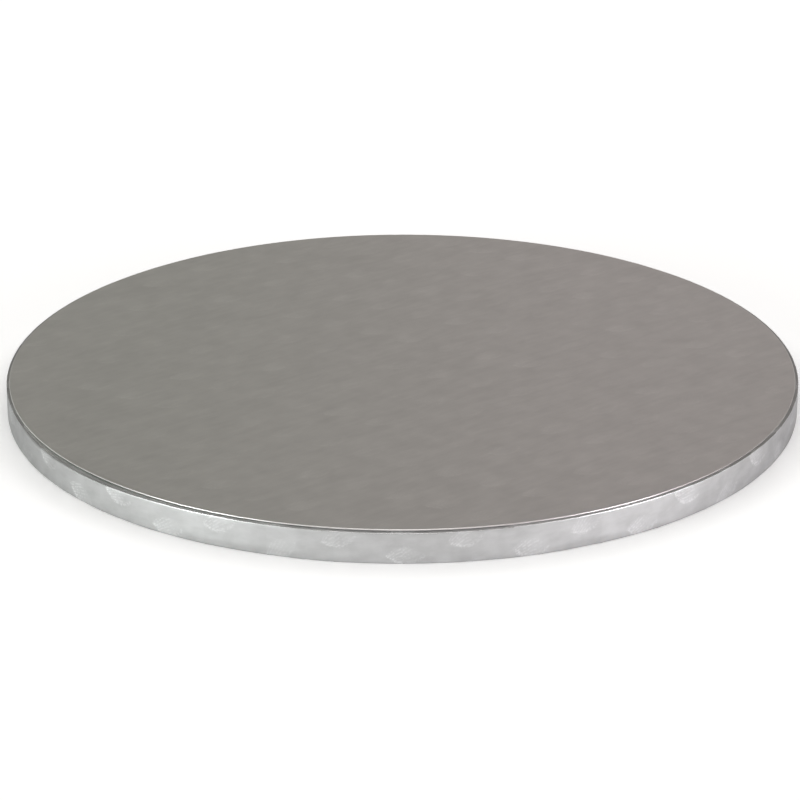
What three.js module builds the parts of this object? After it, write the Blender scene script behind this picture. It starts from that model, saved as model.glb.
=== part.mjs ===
// A round cake board of the thick kind: a disc of greyboard with a strip of foil paper
// folded round its edge, a cut disc of foil-faced card on top and white paper underneath.
// Millimetres, +Z up. It lies on its underside, with the origin on the table at its centre.
import * as THREE from 'three';

// Driving dimensions of the board and its sheets
const boardDiameter = 304.8; // a 12 inch board, over the edge strip
const coreThickness = 12; // greyboard
const topCard = 0.5; // thickness of the foil-faced card on top
const topLedge = 1.25; // strip left bare between the card's edge and the rim
const cutEdgeRound = 0.125; // the cutter rounds the card's upper edge
const basePaper = 0.25; // thickness of the white paper underneath
const bareRing = 7; // strip left bare between the white paper's edge and the rim

// Driving dimensions of the edge strip
const foilPaper = 0.25; // thickness of the strip
const glueLine = 0.0625; // glue between the strip and the greyboard
const topFold = 0.75; // outer radius of the crisp fold on to the top
const bottomFold = 1.5; // outer radius of the fuller fold under the board
const turnOver = 16.5; // reach of the strip over the top, from the rim
const turnUnder = 16; // reach of the strip under the board, from the rim
const topFoldSteps = 2;
const bottomFoldSteps = 3;

// Driving dimensions of the strip's pleats and of the seam where its two ends meet
const pleatSpacing = 24; // along the rim
const pleatRise = 0.1875; // how far a pleat stands off the plain paper
const pleatStart = 0.5; // share of that rise where a pleat leaves the rim
const pleatStep = 0.25; // width of a pleat's folded edge
const pleatRoot = 1.5; // width of a pleat's lap where it leaves the rim
const pleatLap = 7; // width of its lap at the strip's inner edge
const pleatLanding = 1; // the white paper presses the pleats flat over this width
const seamLap = 14; // the strip's end laps this far over its start
const seamDirection = 162; // degrees round from the front, so behind the board

const quarterTurn = Math.PI / 2;
const boardRadius = boardDiameter / 2;
const stripFoot = basePaper;
const coreTop = stripFoot + coreThickness;
const pleatsPerQuarter = Math.round((boardDiameter * Math.PI) / 4 / pleatSpacing);
const pleatCount = 4 * pleatsPerQuarter;
const pleatPitch = (2 * Math.PI) / pleatCount;
const columnsPerPleat = 4;
const columns = pleatCount * columnsPerPleat;
const seamPleat = Math.round(THREE.MathUtils.degToRad(seamDirection) / pleatPitch);

function silverFoil() {
  return new THREE.MeshStandardMaterial({ color: '#c4c4c1', roughness: 0.34, metalness: 0.9 });
}

function greyBoard() {
  return new THREE.MeshStandardMaterial({ color: '#8f8b83', roughness: 0.95, metalness: 0 });
}

function whitePaper() {
  return new THREE.MeshStandardMaterial({ color: '#eceae4', roughness: 0.85, metalness: 0 });
}

// Turns a section, given as radius and height, round the board's upright axis
function turned(section) {
  const geometry = new THREE.LatheGeometry(section, columns);
  return geometry.rotateX(quarterTurn);
}

// One bare place on the strip's outer face: where it is in the section, which way the face
// looks, how much of a pleat and of the seam stands there, and its share of the way under
function barePlace(radius, height, facing, pleat, seam) {
  const inwards = (boardRadius - radius) / turnUnder;
  return { radius, height, facing, pleat, seam, inwards };
}

// One place that a sheet presses flat
function pressedPlace(radius, height) {
  return { radius, height };
}

// A quarter circle of places in the section, both ends included
function fold(centreRadius, centreHeight, radius, startAngle, steps) {
  return Array.from({ length: steps + 1 }, (_, step) => {
    const angle = startAngle + (step / steps) * quarterTurn;
    const facing = new THREE.Vector2(Math.cos(angle), Math.sin(angle));
    const across = centreRadius + radius * facing.x;
    return barePlace(across, centreHeight + radius * facing.y, facing, 0, 1);
  });
}

// The two folds of the strip at a depth under its outer face, from below upwards
function stripFolds(depth) {
  const underCentre = boardRadius - bottomFold;
  const overCentre = boardRadius - topFold;
  return [
    ...fold(underCentre, stripFoot + bottomFold, bottomFold - depth, -quarterTurn, bottomFoldSteps),
    ...fold(overCentre, coreTop - topFold, topFold - depth, 0, topFoldSteps),
  ];
}

// The strip's outer face in section, from its edge under the board to its edge on top.
// Pleats and seam stand only on the bare parts: under the two sheets they are pressed flat.
function outerFace() {
  const down = new THREE.Vector2(0, -1);
  const paperEdge = boardRadius - bareRing;
  const folds = stripFolds(0);
  folds[0].pleat = pleatStart;
  return [
    pressedPlace(boardRadius - turnUnder, stripFoot),
    pressedPlace(paperEdge, stripFoot),
    barePlace(paperEdge + pleatLanding, stripFoot, down, 1, 1),
    ...folds,
    pressedPlace(boardRadius - topLedge, coreTop),
    pressedPlace(boardRadius - turnOver, coreTop),
  ];
}

// The strip's glued face in section, from its edge on top to its edge under the board
function gluedFace(depth) {
  const places = stripFolds(depth).map((place) => new THREE.Vector2(place.radius, place.height));
  return [
    new THREE.Vector2(boardRadius - turnUnder, stripFoot + depth),
    ...places,
    new THREE.Vector2(boardRadius - turnOver, coreTop - depth),
  ];
}

// Where a point of the outer face goes. A pleat has four columns of points: the foot of its
// folded edge, the crest of that edge, the end of its lap, and one on the plain paper.
function pleatedPoint(place, column) {
  const pleat = Math.floor(column / columnsPerPleat);
  const part = column % columnsPerPleat;
  const isSeam = pleat === seamPleat;
  const lap = isSeam ? seamLap : THREE.MathUtils.lerp(pleatRoot, pleatLap, place.inwards);
  const crest = pleatStep / boardRadius;
  const lapEnd = crest + lap / boardRadius;
  const plainPaper = (lapEnd + pleatPitch) / 2;
  const angle = pleat * pleatPitch + [0, crest, lapEnd, plainPaper][part];
  const seamRise = foilPaper * place.seam * [0, 1, 1, 0][part];
  const foldRise = pleatRise * place.pleat * [0, 1, 0, 0][part];
  const rise = isSeam ? seamRise : foldRise;
  const radius = place.radius + rise * place.facing.x;
  const height = place.height + rise * place.facing.y;
  return new THREE.Vector3(radius * Math.sin(angle), height, radius * Math.cos(angle));
}

function coreBoard() {
  const hollow = gluedFace(foilPaper + glueLine);
  const section = [
    new THREE.Vector2(0, stripFoot),
    new THREE.Vector2(boardRadius - turnUnder - glueLine, stripFoot),
    new THREE.Vector2(boardRadius - turnUnder - glueLine, hollow[0].y),
    ...hollow.slice(1, -1),
    new THREE.Vector2(boardRadius - turnOver - glueLine, hollow.at(-1).y),
    new THREE.Vector2(boardRadius - turnOver - glueLine, coreTop),
    new THREE.Vector2(0, coreTop),
  ];
  return new THREE.Mesh(turned(section), greyBoard());
}

// The strip is turned as one closed ring of paper, and its outer face is then laid in pleats
function edgeStrip() {
  const outer = outerFace();
  const outerPoints = outer.map((place) => new THREE.Vector2(place.radius, place.height));
  const section = [...outerPoints, ...gluedFace(foilPaper).reverse(), outerPoints[0]];
  const geometry = new THREE.LatheGeometry(section, columns);
  const position = geometry.getAttribute('position');
  for (let index = 0; index < position.count; index += 1) {
    const row = (index % section.length) % (section.length - 1);
    const column = Math.floor(index / section.length);
    if (outer[row]?.facing) {
      const point = pleatedPoint(outer[row], column);
      position.setXYZ(index, point.x, point.y, point.z);
    }
  }
  geometry.rotateX(quarterTurn);
  geometry.computeVertexNormals();
  return new THREE.Mesh(geometry, silverFoil());
}

function topSheet() {
  const radius = boardRadius - topLedge;
  const section = [
    new THREE.Vector2(0, 0),
    new THREE.Vector2(radius, 0),
    new THREE.Vector2(radius, topCard - cutEdgeRound),
    new THREE.Vector2(radius - cutEdgeRound, topCard),
    new THREE.Vector2(0, topCard),
  ];
  const sheet = new THREE.Mesh(turned(section), silverFoil());
  sheet.position.z = coreTop;
  return sheet;
}

function baseSheet() {
  const radius = boardRadius - bareRing;
  const section = [
    new THREE.Vector2(0, 0),
    new THREE.Vector2(radius, 0),
    new THREE.Vector2(radius, basePaper),
    new THREE.Vector2(0, basePaper),
  ];
  return new THREE.Mesh(turned(section), whitePaper());
}

function cakeBoard() {
  const pieces = {
    core_board: coreBoard(),
    edge_strip: edgeStrip(),
    top_sheet: topSheet(),
    base_sheet: baseSheet(),
  };
  const board = new THREE.Group();
  for (const [name, piece] of Object.entries(pieces)) {
    piece.name = name;
    board.add(piece);
  }
  return board;
}

export default cakeBoard();
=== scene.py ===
# %% [markdown]
# # A silver cake board
# A thick cake board is greyboard dressed in foil paper: a foil strip is folded round the rim,
# a foil-faced card is glued on top and a white paper underneath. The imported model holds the
# pieces at their real size, so it is loaded first, and every measure below is read from it.

# %% Load the fixed frame
import math
from functools import lru_cache

import bmesh
import bpy
from mathutils import Matrix, Vector, noise


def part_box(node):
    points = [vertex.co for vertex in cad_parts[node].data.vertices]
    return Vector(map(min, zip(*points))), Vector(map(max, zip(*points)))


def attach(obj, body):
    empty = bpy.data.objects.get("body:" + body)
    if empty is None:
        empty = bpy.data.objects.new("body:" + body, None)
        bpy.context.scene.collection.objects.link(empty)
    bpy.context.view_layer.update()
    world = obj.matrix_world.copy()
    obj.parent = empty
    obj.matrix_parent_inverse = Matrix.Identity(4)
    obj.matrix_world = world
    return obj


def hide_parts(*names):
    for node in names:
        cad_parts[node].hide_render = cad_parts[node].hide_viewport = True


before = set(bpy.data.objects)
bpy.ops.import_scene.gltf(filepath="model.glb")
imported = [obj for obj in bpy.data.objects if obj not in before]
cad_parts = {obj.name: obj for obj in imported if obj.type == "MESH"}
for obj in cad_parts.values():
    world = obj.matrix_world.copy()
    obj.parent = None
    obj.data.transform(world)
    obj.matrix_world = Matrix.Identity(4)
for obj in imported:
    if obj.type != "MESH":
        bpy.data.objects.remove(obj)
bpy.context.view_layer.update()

MM = 0.001
card_low, card_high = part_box("top_sheet")
paper_low, paper_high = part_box("base_sheet")
BOARD_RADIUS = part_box("edge_strip")[1].x
CARD_RADIUS = card_high.x
PAPER_RADIUS = paper_high.x
TABLE = paper_low.z
STRIP_FOOT = paper_high.z
LEDGE = card_low.z
TOP = card_high.z
print("board", round(2 * BOARD_RADIUS / MM, 1), "mm across,", round(TOP / MM, 2), "mm high")

# %% [markdown]
# ## Camera
# The photo was taken with a long lens from a little above. Its outlines, the rim of the top
# and of the underside, fit a camera 1.2 m away and 22.5 degrees up. The angle of view goes
# into the lens, so nothing has to be shifted.

# %% Camera
CAMERA_LIFT = 0.3935  # radians above the table
CAMERA_DISTANCE = 7.880 * BOARD_RADIUS
CAMERA_ROLL = -0.0017
AIM = Vector((-0.0059 * BOARD_RADIUS, -0.0317 * BOARD_RADIUS, 0))
FOCAL_PIXELS = 3101.1
PHOTO_PIXELS = 800


def make_camera():
    """Stands the camera where the photo's was and points it at the board."""
    data = bpy.data.cameras.new("camera")
    data.sensor_width = 36
    data.lens = data.sensor_width * FOCAL_PIXELS / PHOTO_PIXELS
    data.clip_start = 0.05
    data.clip_end = 50
    camera = bpy.data.objects.new("camera", data)
    back = Vector((0, -math.cos(CAMERA_LIFT), math.sin(CAMERA_LIFT)))
    turn = (-back).to_track_quat("-Z", "Y") @ Matrix.Rotation(CAMERA_ROLL, 3, "Z").to_quaternion()
    camera.location = AIM + back * CAMERA_DISTANCE
    camera.rotation_mode = "QUATERNION"
    camera.rotation_quaternion = turn
    bpy.context.scene.collection.objects.link(camera)
    bpy.context.scene.camera = camera
    return camera


camera = make_camera()
print("camera at", [round(v, 4) for v in camera.location], "lens", round(camera.data.lens, 1), "mm")

# %% [markdown]
# ## Light
# Foil shows what is round it, so the light decides most of its look. The top is seen at a low
# angle and mirrors what stands behind the board, which is a dim room. The rim mirrors the white
# table and two large soft lights, one on either side. The world is built from such soft lobes:
# each is a cosine round one direction, raised to a power that sets how wide it is.

# %% World of soft lobes
ROOM = (0.262, 0.250, 0.236)
LOBES = (
    ("left", (-0.84, -0.54, 0.04), 40.0, (16.0, 16.7, 16.5)),
    ("right", (0.88, -0.475, 0.04), 40.0, (14.2, 14.0, 14.4)),
    ("back wall", (0.15, 1.0, 0.1), 6.0, (0.105, 0.10, 0.092)),
    ("overhead", (0.0, -0.25, 0.97), 30.0, (4.3, 4.3, 4.3)),
)


def math_node(nodes, operation, *inputs):
    """A Math node whose inputs are numbers or sockets."""
    node = nodes.new("ShaderNodeMath")
    node.operation = operation
    for socket, value in zip(node.inputs, inputs):
        if isinstance(value, bpy.types.NodeSocket):
            nodes.id_data.links.new(value, socket)
        else:
            socket.default_value = value
    return node.outputs[0]


def vector_node(nodes, operation, *inputs, output=0):
    """A Vector Math node whose inputs are vectors or sockets."""
    node = nodes.new("ShaderNodeVectorMath")
    node.operation = operation
    for socket, value in zip(node.inputs, inputs):
        if isinstance(value, bpy.types.NodeSocket):
            nodes.id_data.links.new(value, socket)
        else:
            socket.default_value = value
    return node.outputs[output]


def scaled(nodes, vector, factor):
    """A vector times a number, either of them a value or a socket."""
    node = nodes.new("ShaderNodeVectorMath")
    node.operation = "SCALE"
    for socket, value in ((node.inputs[0], vector), (node.inputs["Scale"], factor)):
        if isinstance(value, bpy.types.NodeSocket):
            nodes.id_data.links.new(value, socket)
        else:
            socket.default_value = value
    return node.outputs[0]


def smooth_fade(nodes, value, start, end):
    """0 where the value is at start, 1 at end, and a smooth S between."""
    node = nodes.new("ShaderNodeMapRange")
    node.interpolation_type = "SMOOTHSTEP"
    for name, number in (("From Min", start), ("From Max", end), ("To Min", 0), ("To Max", 1)):
        node.inputs[name].default_value = number
    nodes.id_data.links.new(value, node.inputs["Value"])
    return node.outputs[0]


def make_world():
    """Lights the scene with a dim room and the soft lobes."""
    world = bpy.data.worlds.new("soft_studio")
    world.use_nodes = True
    bpy.context.scene.world = world
    nodes, links = world.node_tree.nodes, world.node_tree.links
    nodes.clear()
    direction = nodes.new("ShaderNodeTexCoord").outputs["Generated"]
    colour = ROOM
    for name, towards, power, strength in LOBES:
        aim = Vector(towards).normalized()
        cosine = vector_node(nodes, "DOT_PRODUCT", direction, aim, output=1)
        lobe = math_node(nodes, "POWER", math_node(nodes, "MAXIMUM", cosine, 0.0), power)
        colour = vector_node(nodes, "ADD", scaled(nodes, strength, lobe), colour)
    background = nodes.new("ShaderNodeBackground")
    output = nodes.new("ShaderNodeOutputWorld")
    links.new(colour, background.inputs["Color"])
    links.new(background.outputs[0], output.inputs["Surface"])


make_world()
print("world lobes:", ", ".join(name for name, *_ in LOBES))

# %% [markdown]
# ## Floor
# A white sweep. Its own colour makes it nearly white. A little glow, which only the camera,
# mirrors and glass see, lifts it to the white of the photo. Close to the board the glow is
# turned down: a painted shadow, which adds to the real contact shadow and which the foil rim mirrors.

# %% Floor
FLOOR_SIZE = 8.0
FLOOR_COLOUR = (0.93, 0.93, 0.93, 1)
FLOOR_GLOW = 0.44
# painted shadow: next to the board the glow is turned down to this, and it rises to the full glow
# further out
PAINTED_SHADOW_GLOW = 0.16
PAINTED_SHADOW_INSIDE = 0.005  # inside the rim
PAINTED_SHADOW_REACH = 0.017  # outside it


def sum_of(nodes, *values):
    """Adds up sockets."""
    total = values[0]
    for value in values[1:]:
        total = math_node(nodes, "ADD", total, value)
    return total


def floor_material():
    """Matt white, with a glow for what the camera and the foil see directly, turned down next to the
    board as a painted shadow.
    """
    material = bpy.data.materials.new("white_floor")
    material.use_nodes = True
    nodes, links = material.node_tree.nodes, material.node_tree.links
    nodes.clear()
    path = nodes.new("ShaderNodeLightPath").outputs
    seen = sum_of(nodes, path["Is Camera Ray"], path["Is Glossy Ray"], path["Is Transmission Ray"])
    glow = nodes.new("ShaderNodeEmission")
    place = nodes.new("ShaderNodeTexCoord").outputs["Object"]
    away = vector_node(nodes, "LENGTH", place, output=1)
    # painted shadow: the glow rises from its low level at the board to the full level away from it
    clear = smooth_fade(nodes, away, BOARD_RADIUS - PAINTED_SHADOW_INSIDE, BOARD_RADIUS + PAINTED_SHADOW_REACH)
    strength = math_node(nodes, "MULTIPLY_ADD", clear, FLOOR_GLOW - PAINTED_SHADOW_GLOW, PAINTED_SHADOW_GLOW)
    links.new(math_node(nodes, "MULTIPLY", seen, strength), glow.inputs["Strength"])
    matt = nodes.new("ShaderNodeBsdfDiffuse")
    matt.inputs["Color"].default_value = FLOOR_COLOUR
    both = nodes.new("ShaderNodeAddShader")
    links.new(matt.outputs[0], both.inputs[0])
    links.new(glow.outputs[0], both.inputs[1])
    output = nodes.new("ShaderNodeOutputMaterial")
    links.new(both.outputs[0], output.inputs["Surface"])
    return material


def make_floor():
    """A large square for the board to lie on, which isn't part of the model."""
    bm = bmesh.new()
    bmesh.ops.create_grid(bm, x_segments=1, y_segments=1, size=FLOOR_SIZE / 2)
    bmesh.ops.translate(bm, verts=bm.verts, vec=(0, 0, TABLE))
    mesh = bpy.data.meshes.new("floor")
    bm.to_mesh(mesh)
    bm.free()
    mesh.materials.append(floor_material())
    floor = bpy.data.objects.new("floor", mesh)
    bpy.context.scene.collection.objects.link(floor)


make_floor()
print("floor", FLOOR_SIZE, "m wide")

# %% [markdown]
# ## Helpers for turned pieces
# All the pieces are round, so each starts as a few points of its section, joined by edges. The
# corners are rounded with a vertex bevel, long edges are subdivided, and the line is spun
# round the upright axis. Small moves of the points then give the hand-folded look.

# %% Section helpers
RIM_STEPS = 960


def draw_section(bm, points):
    """A chain of points in the plane of the radius and the height."""
    verts = [bm.verts.new((radius, 0, height)) for radius, height in points]
    for pair in zip(verts, verts[1:]):
        bm.edges.new(pair)
    return verts


def round_corner(bm, vert, radius, segments):
    """Rounds one corner of a section."""
    bmesh.ops.bevel(
        bm, geom=[vert], offset=radius, offset_type="OFFSET", segments=segments,
        profile=0.5, affect="VERTICES", material=-1,
    )


def spin_round(bm, steps):
    """Spins a section once round the upright axis and closes it."""
    bmesh.ops.spin(
        bm, geom=bm.verts[:] + bm.edges[:], cent=(0, 0, 0), axis=(0, 0, 1), dvec=(0, 0, 0),
        angle=2 * math.pi, space=Matrix.Identity(4), steps=steps, use_merge=True,
    )
    bmesh.ops.remove_doubles(bm, verts=bm.verts, dist=1e-6)
    bmesh.ops.recalc_face_normals(bm, faces=bm.faces)


def smooth_share(value, low, high):
    """0 below low, 1 above high and a smooth S between, in either direction."""
    share = min(1.0, max(0.0, (value - low) / (high - low)))
    return share * share * (3 - 2 * share)


def ripple(angle, radius, wavelength, seed, height=0.0):
    """Smooth noise of about -1 to 1 that closes on itself round the rim."""
    scale = radius / wavelength
    place = Vector((math.cos(angle) * scale, math.sin(angle) * scale, height / wavelength + seed))
    return noise.noise(place)


def put_in_scene(bm, name, material, node):
    """Makes the piece, smooth shaded, and lets it stand for its CAD node."""
    mesh = bpy.data.meshes.new(name)
    bm.to_mesh(mesh)
    triangles = sum(len(face.verts) - 2 for face in bm.faces)
    bm.free()
    mesh.shade_smooth()
    mesh.materials.append(material)
    piece = bpy.data.objects.new(name, mesh)
    bpy.context.scene.collection.objects.link(piece)
    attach(piece, "root")
    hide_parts(node)
    print(name, triangles, "triangles")
    return piece


# %% [markdown]
# ## Foil finish
# Board foil is embossed between rollers with rows of small leaves. Each leaf is a patch of fine
# barbs, and it looks frosted, while the foil between is smoother. The rows are a slanting
# lattice: the place on the foil is counted in steps of the lattice, the whole steps are
# dropped, and what is left says where the point lies from the middle of its own leaf.

# %% Leaf lattice
TOP_LATTICE = ((15.0, -9.0), (19.0, 19.0))  # millimetres
RIM_LATTICE = ((23.0, -6.2), (21.0, 6.2))
BARB_TURN = 0.075  # radians between the barbs of a leaf


def lattice_place(nodes, place, lattice):
    """The place from the middle of its own cell, in millimetres."""
    (ax, ay), (bx, by) = lattice
    area = ax * by - ay * bx
    parts = []
    for normal, step in (((by, -bx), (ax, ay)), ((-ay, ax), (bx, by))):
        facing = (normal[0] / area, normal[1] / area, 0)
        along = vector_node(nodes, "DOT_PRODUCT", place, facing, output=1)
        rest = math_node(nodes, "SUBTRACT", along, math_node(nodes, "ROUND", along))
        parts.append(scaled(nodes, (*step, 0), rest))
    return vector_node(nodes, "ADD", *parts)


def noise_node(nodes, place, scale, detail, roughness=0.5):
    """Smooth noise of 0 to 1."""
    node = nodes.new("ShaderNodeTexNoise")
    node.inputs["Scale"].default_value = scale
    node.inputs["Detail"].default_value = detail
    node.inputs["Roughness"].default_value = roughness
    nodes.id_data.links.new(place, node.inputs["Vector"])
    return node.outputs["Fac"]


def wave(nodes, value, pitch):
    """A sine of the given pitch, from 0 to 1."""
    phase = math_node(nodes, "MULTIPLY", value, 2 * math.pi / pitch)
    return math_node(nodes, "MULTIPLY_ADD", math_node(nodes, "SINE", phase), 0.5, 0.5)


def component(nodes, vector, index):
    """One coordinate of a vector."""
    split = nodes.new("ShaderNodeSeparateXYZ")
    nodes.id_data.links.new(vector, split.inputs[0])
    return split.outputs[index]


def cell_chance(nodes, place, lattice):
    """A random number of 0 to 1 for each leaf, so that no two are pressed alike."""
    (ax, ay), (bx, by) = lattice
    area = ax * by - ay * bx
    steps = nodes.new("ShaderNodeCombineXYZ")
    for socket, normal in zip(steps.inputs, ((by, -bx), (-ay, ax))):
        facing = (normal[0] / area, normal[1] / area, 0)
        along = vector_node(nodes, "DOT_PRODUCT", place, facing, output=1)
        nodes.id_data.links.new(math_node(nodes, "ROUND", along), socket)
    chance = nodes.new("ShaderNodeTexWhiteNoise")
    nodes.id_data.links.new(steps.outputs[0], chance.inputs["Vector"])
    return chance.outputs["Value"]


# %% [markdown]
# A leaf is the overlap of two large discs, with one edge pressed harder than the other. Its
# barbs fan out from a point behind its root, fade towards the tip and are broken up, because
# the roller doesn't bite evenly. Each leaf is also turned a little by its own random number.

# %% One leaf
LEAF_SWING = 0.9  # radians, from the leaf that is turned most one way to the other
OUTLINE_WOBBLE = 1.6  # millimetres, the same way
LEAF_EDGE = (0.3, -0.9)  # where a leaf starts and is full, in millimetres past its outline
PRESSED_EDGE = (-1.9, -0.5)
BITE = (0.36, 0.62)  # levels of the noise at which the roller lets go and bites


def leaf_emboss(nodes, place, lattice, slant, length, width):
    """How strongly the barbs of a leaf stand at a place, and how frosted the leaf is there."""
    chance = cell_chance(nodes, place, lattice)
    turn = nodes.new("ShaderNodeVectorRotate")
    turn.rotation_type = "Z_AXIS"
    angle = math_node(nodes, "MULTIPLY_ADD", chance, LEAF_SWING, -LEAF_SWING / 2 - math.radians(slant))
    nodes.id_data.links.new(angle, turn.inputs["Angle"])
    nodes.id_data.links.new(lattice_place(nodes, place, lattice), turn.inputs["Vector"])
    uneven = noise_node(nodes, place, 0.8, 2)
    wobble = math_node(nodes, "MULTIPLY_ADD", uneven, OUTLINE_WOBBLE, -OUTLINE_WOBBLE / 2)
    half = length / 2
    centre = (half ** 2 - (width / 2) ** 2) / width
    disc = math.hypot(half, centre)
    shapes = []
    for side in (-1, 1):
        away = vector_node(nodes, "DISTANCE", turn.outputs[0], (0, side * centre, 0), output=1)
        shapes.append(math_node(nodes, "SUBTRACT", math_node(nodes, "ADD", away, wobble), disc))
    inside = smooth_fade(nodes, math_node(nodes, "MAXIMUM", *shapes), *LEAF_EDGE)
    pressed = math_node(nodes, "MULTIPLY", smooth_fade(nodes, shapes[1], *PRESSED_EDGE), inside)
    along, across = component(nodes, turn.outputs[0], 0), component(nodes, turn.outputs[0], 1)
    from_root = (math_node(nodes, "ADD", across, half), math_node(nodes, "ADD", along, length))
    barbs = wave(nodes, math_node(nodes, "ARCTAN2", *from_root), BARB_TURN)
    bite = smooth_fade(nodes, noise_node(nodes, place, 1.1, 2), *BITE)
    tip = smooth_fade(nodes, along, half, -half * 0.4)
    strength = math_node(nodes, "MULTIPLY_ADD", chance, 0.6, 0.45)
    frosted = math_node(nodes, "MULTIPLY", math_node(nodes, "MULTIPLY", inside, tip), strength)
    marks = math_node(nodes, "MULTIPLY", math_node(nodes, "MULTIPLY", barbs, bite), frosted)
    edge = math_node(nodes, "MULTIPLY", math_node(nodes, "MULTIPLY", pressed, bite), strength)
    return math_node(nodes, "ADD", marks, edge), frosted


# %% [markdown]
# The metal itself is one silver. Leaves make it frosted, and a painted sheen makes them a touch
# lighter; barbs and slow clouds go into its bump, and faint streaks of the lacquer keep it from
# being even. The foil leans from a faint olive on one side to a faint rose on the other, as
# laminated foil does, and it is painted darker on the left and lighter on the right, as painted shade.

# %% Foil material
# painted shade: both foils are darker on the left and lighter on the right, on top of a faint olive to
# rose colour
TOP_TINTS_AND_SHADE = ((0.93, 0.94, 0.91), (1.06, 1.014, 1.022))  # left and right
RIM_TINTS_AND_SHADE = ((0.95, 0.965, 0.96), (1.01, 1.0, 1.015))
TINT_AND_SHADE_SPAN = (-120, 100)  # millimetres across, from the left tint to the right one
# painted sheen on a frosted leaf, as a share of that on its barbs
FROSTED_PAINTED_SHEEN = 0.45  # of the light of the barbs
RUBBED_SMOOTH = 0.7  # less roughness for each step of polish
EMBOSS_DEPTH = 0.02 * MM
CLOUD_DEPTH = 4.0  # of the depth of the barbs


def tint_and_shade_drift(nodes, factor, tints_and_shade):
    """Mixes the foil's colours at its left and right, a faint olive and a faint rose, with painted
    shade darker on the left.
    """
    node = nodes.new("ShaderNodeMix")
    node.data_type = "RGBA"
    for socket in node.inputs:
        if socket.identifier in ("A_Color", "B_Color"):
            socket.default_value = (*tints_and_shade[socket.identifier == "B_Color"], 1)
    nodes.id_data.links.new(factor, node.inputs["Factor"])
    return next(s for s in node.outputs if s.identifier == "Result_Color")


def turned_about(nodes, vector, degrees):
    """A flat vector turned clockwise."""
    node = nodes.new("ShaderNodeVectorRotate")
    node.rotation_type = "Z_AXIS"
    node.inputs["Angle"].default_value = -math.radians(degrees)
    nodes.id_data.links.new(vector, node.inputs["Vector"])
    return node.outputs[0]


def foil_material(
    name, source, silver, rough, tints_and_shade, emboss, painted_leaf_sheen, frost, cloudy, streak, polish_and_highlight_mask, polish_and_highlight, glance
):
    """Silver foil with embossed leaves, laid out flat on the top or along the rim.

    light and frost are what a leaf adds to the brightness, as a painted sheen, and to the roughness,
    cloudy and streak are the unevenness, burnish says where the foil is worn smooth and carries a
    painted highlight and polish how much, and glance is what is left of the reflection at a glancing
    angle.
    """
    material = bpy.data.materials.new(name)
    material.use_nodes = True
    nodes, links = material.node_tree.nodes, material.node_tree.links
    nodes.clear()
    coordinates = nodes.new("ShaderNodeTexCoord")
    place = scaled(nodes, coordinates.outputs[source], 1 / MM)
    across = component(nodes, scaled(nodes, coordinates.outputs["Object"], 1 / MM), 0)
    origin, lattice, slant, length, width = emboss
    moved = vector_node(nodes, "SUBTRACT", place, origin)
    marks, frosted = leaf_emboss(nodes, moved, lattice, slant, length, width)
    # painted highlight: where the foil is worn smooth it is also made lighter in colour
    polished_and_highlighted = polish_and_highlight_mask(nodes, place)
    stretch = vector_node(nodes, "MULTIPLY", turned_about(nodes, place, slant), streak)
    fine, slow = noise_node(nodes, stretch, 0.16, 5, 0.6), noise_node(nodes, place, 0.11, 3)
    streaks = math_node(nodes, "MULTIPLY_ADD", fine, cloudy, -cloudy / 2)
    clouds = math_node(nodes, "MULTIPLY_ADD", slow, cloudy, -cloudy / 2)
    # the leaves' painted sheen and the painted highlight on worn foil lighten the colour, with random
    # clouds and streaks
    level = sum_of(
        nodes, streaks, clouds, math_node(nodes, "MULTIPLY", marks, painted_leaf_sheen),
        math_node(nodes, "MULTIPLY", frosted, painted_leaf_sheen * FROSTED_PAINTED_SHEEN),
        math_node(nodes, "MULTIPLY_ADD", polished_and_highlighted, polish_and_highlight, 1.0),
    )
    # painted shade across the board, darker on the left, together with the faint olive to rose colour
    tint_and_shade = tint_and_shade_drift(nodes, smooth_fade(nodes, across, *TINT_AND_SHADE_SPAN), tints_and_shade)
    colour = vector_node(nodes, "MULTIPLY", tint_and_shade, silver)
    shader = nodes.new("ShaderNodeBsdfPrincipled")
    shader.inputs["Metallic"].default_value = 1.0
    shader.inputs["Specular Tint"].default_value = (glance, glance, glance, 1)
    links.new(scaled(nodes, colour, level), shader.inputs["Base Color"])
    matt = math_node(nodes, "MULTIPLY_ADD", frosted, frost, rough)
    matt = math_node(nodes, "MULTIPLY_ADD", polished_and_highlighted, -RUBBED_SMOOTH * polish_and_highlight, matt)
    links.new(matt, shader.inputs["Roughness"])
    bump = nodes.new("ShaderNodeBump")
    bump.inputs["Distance"].default_value = EMBOSS_DEPTH
    links.new(math_node(nodes, "MULTIPLY_ADD", clouds, CLOUD_DEPTH, marks), bump.inputs["Height"])
    links.new(bump.outputs[0], shader.inputs["Normal"])
    output = nodes.new("ShaderNodeOutputMaterial")
    links.new(shader.outputs[0], output.inputs["Surface"])
    print(name, "has", len(nodes), "nodes")
    return material


# %% [markdown]
# Folding and cutting rub the foil smoother, and a painted highlight lightens the same places. On
# the strip that is a narrow band along the top fold, and on the card it is the rolled edge that the
# cutter leaves.

# %% Two foils
CREASE_HEIGHT = 12.2  # up the strip, in millimetres
CREASE_WIDTH = 0.75
CUT_EDGE = 0.4  # width of the card's rolled edge


def fold_polish_and_highlight(nodes, place):
    """1 on the strip's top fold, where the foil is worn smooth and a highlight is painted."""
    above = math_node(nodes, "SUBTRACT", component(nodes, place, 1), CREASE_HEIGHT)
    off = math_node(nodes, "ABSOLUTE", above)
    return smooth_fade(nodes, off, CREASE_WIDTH / 2, CREASE_WIDTH / 4)


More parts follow.
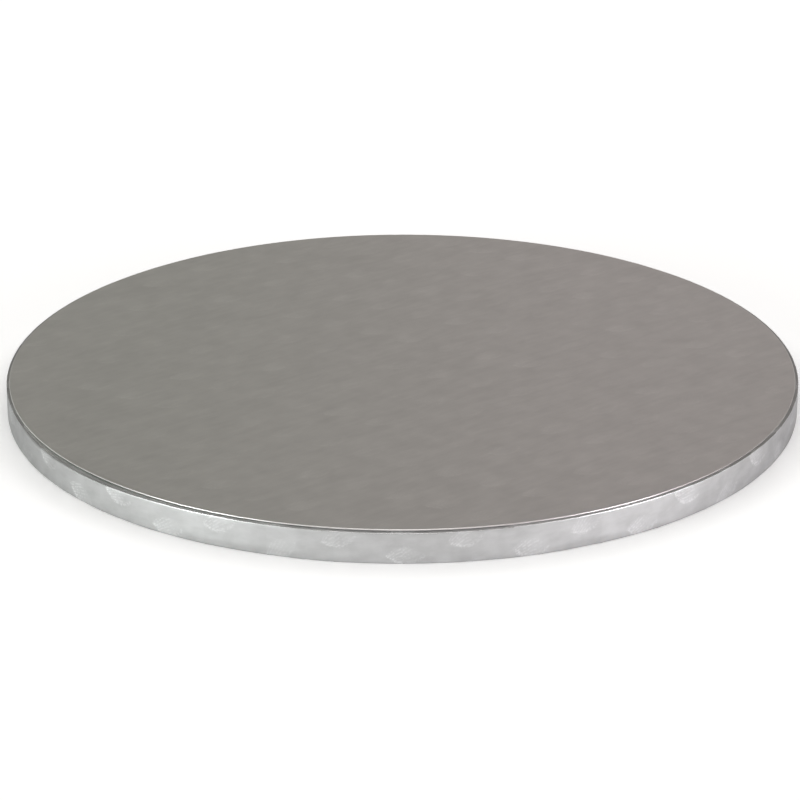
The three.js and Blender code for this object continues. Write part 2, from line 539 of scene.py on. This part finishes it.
def edge_polish_and_highlight(nodes, place):
    """1 on the card's rolled edge, where the foil is worn smooth and a highlight is painted."""
    flat = vector_node(nodes, "MULTIPLY", place, (1, 1, 0))
    radius = vector_node(nodes, "LENGTH", flat, output=1)
    edge = CARD_RADIUS / MM
    return smooth_fade(nodes, radius, edge - CUT_EDGE, edge - CUT_EDGE / 2)


# In both foils the leaves get a painted sheen, and the fold or the cut edge a painted highlight.
top_foil = foil_material(
    "silver_foil_top", "Object", (0.74, 0.74, 0.735), 0.44, TOP_TINTS_AND_SHADE,
    emboss=((0, 0, 0), TOP_LATTICE, 40, 14, 8),
    painted_leaf_sheen=0.05, frost=0.02, cloudy=0.17, streak=(0.35, 1.7, 1),
    polish_and_highlight_mask=edge_polish_and_highlight, polish_and_highlight=0.15, glance=1.0,
)
# painted shade: the rim's silver is darker than the top's, which dims its reflection of the glowing
# floor
rim_foil = foil_material(
    "silver_foil_rim", "UV", (0.535, 0.535, 0.535), 0.48, RIM_TINTS_AND_SHADE,
    emboss=((1, 3.2, 0), RIM_LATTICE, 6, 14, 7.5),
    painted_leaf_sheen=0.24, frost=0.05, cloudy=0.38, streak=(0.7, 1.9, 1),
    polish_and_highlight_mask=fold_polish_and_highlight, polish_and_highlight=0.3, glance=0.46,
)

# %% [markdown]
# ## Edge strip
# The strip turns up from under the board, over the rim and on to the top. Its section has two
# corners, both crisp. Hands and glue leave it uneven, so each place round the rim gets its own
# amounts: how far the top fold hangs slack, how deep its small crimps are, and how the foil
# tucks in at the foot. They are worked out once for each column of points.

# %% What the hand left round the rim
PAPER_TURN_UNDER = 16 * MM
PAPER_TURN_OVER = 16.5 * MM
TOP_FOLD = 0.3 * MM
BOTTOM_FOLD = 0.55 * MM
FOIL_PAPER = 0.25 * MM
PLEATS = 40
SEAM_ANGLE = 162  # degrees round from the front
SEAM_LAP = 14 * MM
SLACK_CORNER = 1.0 * MM  # the most that the fold hangs down, at the left front
CORNER_AT = -50  # degrees from the front
SLACK_FRONT = 0.40 * MM
SLACK_ALL = 0.04 * MM
CRIMP_DEPTH = 0.22 * MM
FOOT_CREASE = 2.4 * MM  # height of the crease above the foot


def between_angles(angle, start, end, soft):
    """1 inside a stretch of the rim, with soft ends, all in degrees from the front."""
    return smooth_share(angle, start - soft, start) * (1 - smooth_share(angle, end, end + soft))


@lru_cache(maxsize=None)
def rim_hand(column):
    """Slack, crimp, height of the foot's crease, its tuck and how soft the fold is, at one column."""
    angle = 2 * math.pi * column / RIM_STEPS
    front = math.degrees(math.atan2(math.sin(angle), math.cos(angle)))
    spread = 26 if front < CORNER_AT else 13
    slack = SLACK_CORNER * math.exp(-(((front - CORNER_AT) / spread) ** 2))
    slack += SLACK_FRONT * between_angles(front, -60, 8, 12)
    slack += SLACK_ALL * (1 + ripple(angle, BOARD_RADIUS, 11 * MM, 4.4))
    busy = 0.35 + 0.65 * between_angles(front, -17, 12, 8)
    crimp = busy * max(0.0, ripple(angle, BOARD_RADIUS, 1.3 * MM, 3.1) + 0.15)
    crease = FOOT_CREASE * (1 + 0.5 * ripple(angle, BOARD_RADIUS, 15 * MM, 6.4))
    tuck = 0.03 + 0.12 * between_angles(front, -22, 22, 16)
    soft = 0.1 + 0.5 * between_angles(front, -85, -62, 12)
    return slack, CRIMP_DEPTH * crimp, crease, tuck, soft


def rim_column(co):
    """The number of the column that a point belongs to, counted from the front."""
    angle = math.atan2(co.x, -co.y) % (2 * math.pi)
    return round(angle / (2 * math.pi) * RIM_STEPS) % RIM_STEPS


# %% [markdown]
# One function moves a point from the perfect ring to where the hand left it. The strip and the
# board inside both go through it, so the board never pokes through its wrap.

# %% Pull a point
SLACK_REACH = 3.4 * MM
FOOT_SAG = 0.2 * MM  # the bare paper of the foot settles on the table
WANDER = 0.07 * MM
DENTS = 0.09 * MM


def pull(co):
    """Moves one point of the wrap, or of the board under it."""
    slack, crimp, crease, tuck, soft = rim_hand(rim_column(co))
    angle = math.atan2(co.x, -co.y)
    radius, height = math.hypot(co.x, co.y), co.z
    out = smooth_share(radius, CARD_RADIUS - 2.0 * MM, CARD_RADIUS - 0.2 * MM)
    edge = smooth_share(radius, CARD_RADIUS + 0.2 * MM, BOARD_RADIUS - 0.3 * MM)
    depth = max(0.0, LEDGE - height)
    fade = max(0.0, 1 - depth / SLACK_REACH) ** 2
    on_side = smooth_share(radius, BOARD_RADIUS - 2.2 * MM, BOARD_RADIUS - 0.3 * MM)
    height -= slack * fade * (0.72 * out + 0.28 * edge) + crimp * fade ** 6 * edge
    foot = smooth_share(radius, PAPER_RADIUS + 1 * MM, BOARD_RADIUS - 1 * MM)
    height -= FOOT_SAG * foot * (1 - smooth_share(co.z, STRIP_FOOT, STRIP_FOOT + 1.5 * MM))
    inwards = soft * slack * fade * edge + 0.6 * crimp * fade ** 4 * on_side
    inwards += on_side * tuck * max(0.0, crease - co.z)
    wander = 0.5 + 0.5 * ripple(angle, BOARD_RADIUS, 24 * MM, 1.7, co.z * 0.8)
    dents = 0.5 + 0.5 * ripple(angle, BOARD_RADIUS, 6 * MM, 5.2, co.z)
    inwards += on_side * (WANDER * wander + DENTS * dents)
    scale = (radius - inwards) / radius
    return Vector((co.x * scale, co.y * scale, height))


# %% [markdown]
# Under the board the paper has more length than it needs, so it is laid in wedge-shaped
# pleats that widen towards the middle. Where its two ends meet, at the back, one laps over
# the other and leaves a low step up the side. The columns next to a step are drawn together,
# so that it looks cut and not sloped.

# %% Pleats and seam
PLEAT_RISE = 0.16 * MM
SEAM_RISE = 0.2 * MM
STEP_WIDTH = 0.12 * MM
PLEAT_ROOT = 1.5  # millimetres wide where it leaves the rim
PLEAT_SPREAD = 5.5  # wider by so much at the strip's inner edge
LOWEST = 0.04 * MM  # nothing of the strip reaches the table
COLUMN_WIDTH = 2 * math.pi * BOARD_RADIUS / RIM_STEPS


def past_step(co, start):
    """Length along the rim from a step at an angle, with the column before it drawn close."""
    angle = math.atan2(co.x, -co.y) % (2 * math.pi)
    along = ((angle - start + math.pi) % (2 * math.pi) - math.pi) * BOARD_RADIUS
    if -1.5 * COLUMN_WIDTH < along < -0.5 * COLUMN_WIDTH:
        along = -STEP_WIDTH
    return along


def lap(co):
    """Raises the pleats underneath and the lapped end of the strip."""
    radius = math.hypot(co.x, co.y)
    pitch = 2 * math.pi / PLEATS
    pleat = round((math.atan2(co.x, -co.y) % (2 * math.pi)) / pitch - 0.4)
    seam_turn = math.radians(SEAM_ANGLE)
    is_seam = abs(pleat * pitch - seam_turn) < pitch / 2
    start = seam_turn if is_seam else pleat * pitch
    along = past_step(co, start)
    under = co.z < STRIP_FOOT + 0.6 * MM
    inset = (BOARD_RADIUS - radius) / PAPER_TURN_UNDER
    bare = smooth_share(radius, PAPER_RADIUS, PAPER_RADIUS + 1 * MM)
    width = SEAM_LAP if is_seam else (PLEAT_ROOT + PLEAT_SPREAD * inset) * MM
    share = max(0.0, 1 - along / width) if along >= 0 else 0.0
    turned = start + along / BOARD_RADIUS if -COLUMN_WIDTH < along < 0 else math.atan2(co.x, -co.y)
    rise = share * (SEAM_RISE if is_seam else PLEAT_RISE)
    height = co.z - rise * bare if under else co.z
    if is_seam and not under and radius > CARD_RADIUS:
        radius += rise * smooth_share(LEDGE - co.z, -0.1 * MM, 0.8 * MM)
    return Vector((radius * math.sin(turned), -radius * math.cos(turned), max(height, LOWEST)))


# %% [markdown]
# The strip is drawn as a chain of points, its corners are rounded, its side and bare ledge are
# cut into short lengths, and the chain is spun. Only then is it pulled about, given its pleats
# and made into paper of a real thickness.

# %% Edge strip
SIDE_ROWS = 0.95 * MM
LEDGE_ROWS = 0.5 * MM


def split_long_edges(bm, edges, longest):
    """Cuts each edge into pieces no longer than a limit."""
    for edge in edges:
        cuts = math.ceil(edge.calc_length() / longest - 1e-6) - 1
        if cuts > 0:
            bmesh.ops.subdivide_edges(bm, edges=[edge], cuts=cuts)


def lay_along_rim(bm):
    """A UV map in metres: along the rim, and up the strip from its foot."""
    layer = bm.loops.layers.uv.new("along_rim")
    for face in bm.faces:
        middle = face.calc_center_median()
        turn = math.atan2(middle.x, -middle.y)
        for loop in face.loops:
            co = loop.vert.co
            angle = math.atan2(co.x, -co.y)
            angle = turn + (angle - turn + math.pi) % (2 * math.pi) - math.pi
            inset = BOARD_RADIUS - math.hypot(co.x, co.y)
            across = co.z + inset if co.z > TOP / 2 else co.z - inset
            loop[layer].uv = (angle * BOARD_RADIUS, across)


def edge_strip():
    """The foil strip, from its edge under the board to its edge on top."""
    bm = bmesh.new()
    verts = draw_section(bm, (
        (BOARD_RADIUS - PAPER_TURN_UNDER, STRIP_FOOT),
        (PAPER_RADIUS, STRIP_FOOT),
        (BOARD_RADIUS, STRIP_FOOT),
        (BOARD_RADIUS, LEDGE),
        (CARD_RADIUS - 0.4 * MM, LEDGE),
        (BOARD_RADIUS - PAPER_TURN_OVER, LEDGE),
    ))
    hidden = {edge for vert in (verts[0], verts[5]) for edge in vert.link_edges}
    round_corner(bm, verts[2], BOTTOM_FOLD, 4)
    corner = max(bm.verts, key=lambda vert: vert.co.x + vert.co.z)
    round_corner(bm, corner, TOP_FOLD, 4)
    side = [e for e in bm.edges if e not in hidden and e.calc_length() > 9 * MM]
    split_long_edges(bm, side, SIDE_ROWS)
    ledges = [e for e in bm.edges if e not in hidden and 1 * MM < e.calc_length() < 9 * MM]
    split_long_edges(bm, ledges, LEDGE_ROWS)
    print("section of the strip:", len(bm.edges), "edges")
    spin_round(bm, RIM_STEPS)
    lay_along_rim(bm)
    for vert in bm.verts:
        vert.co = lap(pull(vert.co))
    bmesh.ops.recalc_face_normals(bm, faces=bm.faces)
    bmesh.ops.solidify(bm, geom=bm.faces[:], thickness=FOIL_PAPER)
    widest = max(math.hypot(v.co.x, v.co.y) for v in bm.verts)
    heights = [v.co.z for v in bm.verts]
    print("widest point", round(widest / MM, 2), "mm")
    print("heights", round(min(heights) / MM, 3), "to", round(max(heights) / MM, 3), "mm")
    return put_in_scene(bm, "foil_strip", rim_foil, "edge_strip")


edge_strip()

# %% [markdown]
# ## Board inside
# The greyboard disc can't be seen in the finished board, but it is what gives the wrap its
# shape. It is turned the same way, lies just inside the strip, and has shallow steps where the
# strip is pressed into it. It is made further on, when its material is ready.

# %% Board inside
BOARD_GAP = 0.36 * MM  # the strip and its glue
STEP_GAP = 0.1 * MM  # between the strip's inner edge and the step
CORE_FOOT_ROUND = 1.0 * MM
CORE_TOP_ROUND = 0.4 * MM


def grey_core(material):
    """The greyboard disc, pulled about together with its wrap."""
    bm = bmesh.new()
    low, high = STRIP_FOOT + BOARD_GAP, LEDGE - BOARD_GAP
    edge = BOARD_RADIUS - BOARD_GAP
    verts = draw_section(bm, (
        (0, STRIP_FOOT),
        (BOARD_RADIUS - PAPER_TURN_UNDER - STEP_GAP, STRIP_FOOT),
        (BOARD_RADIUS - PAPER_TURN_UNDER - STEP_GAP, low),
        (edge, low),
        (edge, high),
        (BOARD_RADIUS - PAPER_TURN_OVER - STEP_GAP, high),
        (BOARD_RADIUS - PAPER_TURN_OVER - STEP_GAP, LEDGE),
        (0, LEDGE),
    ))
    round_corner(bm, verts[3], CORE_FOOT_ROUND, 3)
    corner = max(bm.verts, key=lambda vert: vert.co.x + 3 * vert.co.z)
    round_corner(bm, corner, CORE_TOP_ROUND, 3)
    split_long_edges(bm, [e for e in bm.edges if 9 * MM < e.calc_length() < 12 * MM], 1.2 * MM)
    spin_round(bm, RIM_STEPS // 3)
    for vert in bm.verts:
        if math.hypot(vert.co.x, vert.co.y) > CARD_RADIUS - 3 * MM:
            vert.co = pull(vert.co)
    return put_in_scene(bm, "grey_board", material, "core_board")


# %% [markdown]
# ## Top card
# The card is punched from a foil-faced sheet. The cutter rolls its upper edge over a little, so
# the edge picks up a thin bright line, which a painted highlight makes brighter. The strip's inner
# edge and its pleats show faintly through the card as a ring of low bumps.

# %% Top card
CUT_ROUND = 0.3 * MM
TELEGRAPH_RADIUS = BOARD_RADIUS - PAPER_TURN_OVER
CLOSE_RINGS = 1.6 * MM
WIDE_RINGS = 25 * MM
CARD_SINK = 0.03 * MM  # inside the strip's inner edge
BUMP_DEPTH = 0.18 * MM
MOTTLE_DEPTH = 0.025 * MM
NICK_DEPTH = 0.3 * MM


def press_card(co):
    """The ring of low bumps over the strip, and nicks in the cut edge."""
    if co.z < LEDGE + 0.1 * MM:
        return co
    radius = math.hypot(co.x, co.y)
    angle = math.atan2(co.x, -co.y)
    over_strip = smooth_share(radius, TELEGRAPH_RADIUS - 2 * MM, TELEGRAPH_RADIUS + 2 * MM)
    ring = over_strip * (1 - smooth_share(radius, CARD_RADIUS - 9 * MM, CARD_RADIUS - 1 * MM))
    bumps = 0.5 + 0.5 * ripple(angle, radius, 8 * MM, 2.2)
    mottle = 0.5 + 0.5 * ripple(angle, radius, 5 * MM, 9.2)
    drop = CARD_SINK * (1 - over_strip) + BUMP_DEPTH * bumps * ring + MOTTLE_DEPTH * mottle * over_strip
    edge = smooth_share(radius, CARD_RADIUS - 0.5 * MM, CARD_RADIUS)
    nick = max(0.0, ripple(angle, BOARD_RADIUS, 2.2 * MM, 7.7) - 0.3)
    return Vector((co.x, co.y, co.z - drop - NICK_DEPTH * nick * edge))


def top_edges(bm, start, end):
    """The edges of the card's upper face between two radii."""
    flat = [e for e in bm.edges if min(v.co.z for v in e.verts) > TOP - 0.001 * MM]
    return [e for e in flat if start < (e.verts[0].co.x + e.verts[1].co.x) / 2 < end]


def top_card():
    """The cut disc of foil-faced card."""
    bm = bmesh.new()
    verts = draw_section(bm, (
        (0, TOP),
        (TELEGRAPH_RADIUS - 8 * MM, TOP),
        (CARD_RADIUS, TOP),
        (CARD_RADIUS, LEDGE),
        (CARD_RADIUS - 20 * MM, LEDGE),
        (0, LEDGE),
    ))
    round_corner(bm, verts[2], CUT_ROUND, 4)
    split_long_edges(bm, top_edges(bm, TELEGRAPH_RADIUS - 8 * MM, CARD_RADIUS), CLOSE_RINGS)
    split_long_edges(bm, top_edges(bm, 0, TELEGRAPH_RADIUS - 8 * MM), WIDE_RINGS)
    spin_round(bm, RIM_STEPS)
    for vert in bm.verts:
        vert.co = press_card(vert.co)
    return put_in_scene(bm, "foil_card", top_foil, "top_sheet")


top_card()

# %% [markdown]
# ## Paper underneath and board inside
# The white paper is a plain disc, so it keeps its CAD solid and only gets a finish: matt, with
# a faint fibre. The greyboard is rough pulp.

# %% Paper and board
def fibre_material(name, colour, spread, scale, depth):
    """Matt paper: fine cloudy colour and a shallow fibre bump."""
    material = bpy.data.materials.new(name)
    material.use_nodes = True
    nodes, links = material.node_tree.nodes, material.node_tree.links
    nodes.clear()
    place = nodes.new("ShaderNodeTexCoord").outputs["Object"]
    cloud = noise_node(nodes, place, scale, 6)
    level = math_node(nodes, "MULTIPLY_ADD", cloud, spread, 1 - spread / 2)
    shader = nodes.new("ShaderNodeBsdfPrincipled")
    shader.inputs["Roughness"].default_value = 0.9
    shader.inputs["Specular IOR Level"].default_value = 0.2
    links.new(scaled(nodes, colour, level), shader.inputs["Base Color"])
    bump = nodes.new("ShaderNodeBump")
    bump.inputs["Distance"].default_value = depth * MM
    links.new(noise_node(nodes, place, scale * 8, 4), bump.inputs["Height"])
    links.new(bump.outputs[0], shader.inputs["Normal"])
    output = nodes.new("ShaderNodeOutputMaterial")
    links.new(shader.outputs[0], output.inputs["Surface"])
    return material


def dress(node, material):
    """Gives a CAD node its material."""
    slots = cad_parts[node].data.materials
    slots.clear()
    slots.append(material)


dress("base_sheet", fibre_material("white_paper", (0.84, 0.83, 0.80), 0.05, 90, 0.03))
grey_core(fibre_material("grey_pulp", (0.27, 0.25, 0.22), 0.25, 160, 0.08))

# %% [markdown]
# ## Finish
# The view transform is Standard, so a colour comes out as it was written.

# %% Finish
bpy.context.scene.view_settings.view_transform = "Standard"
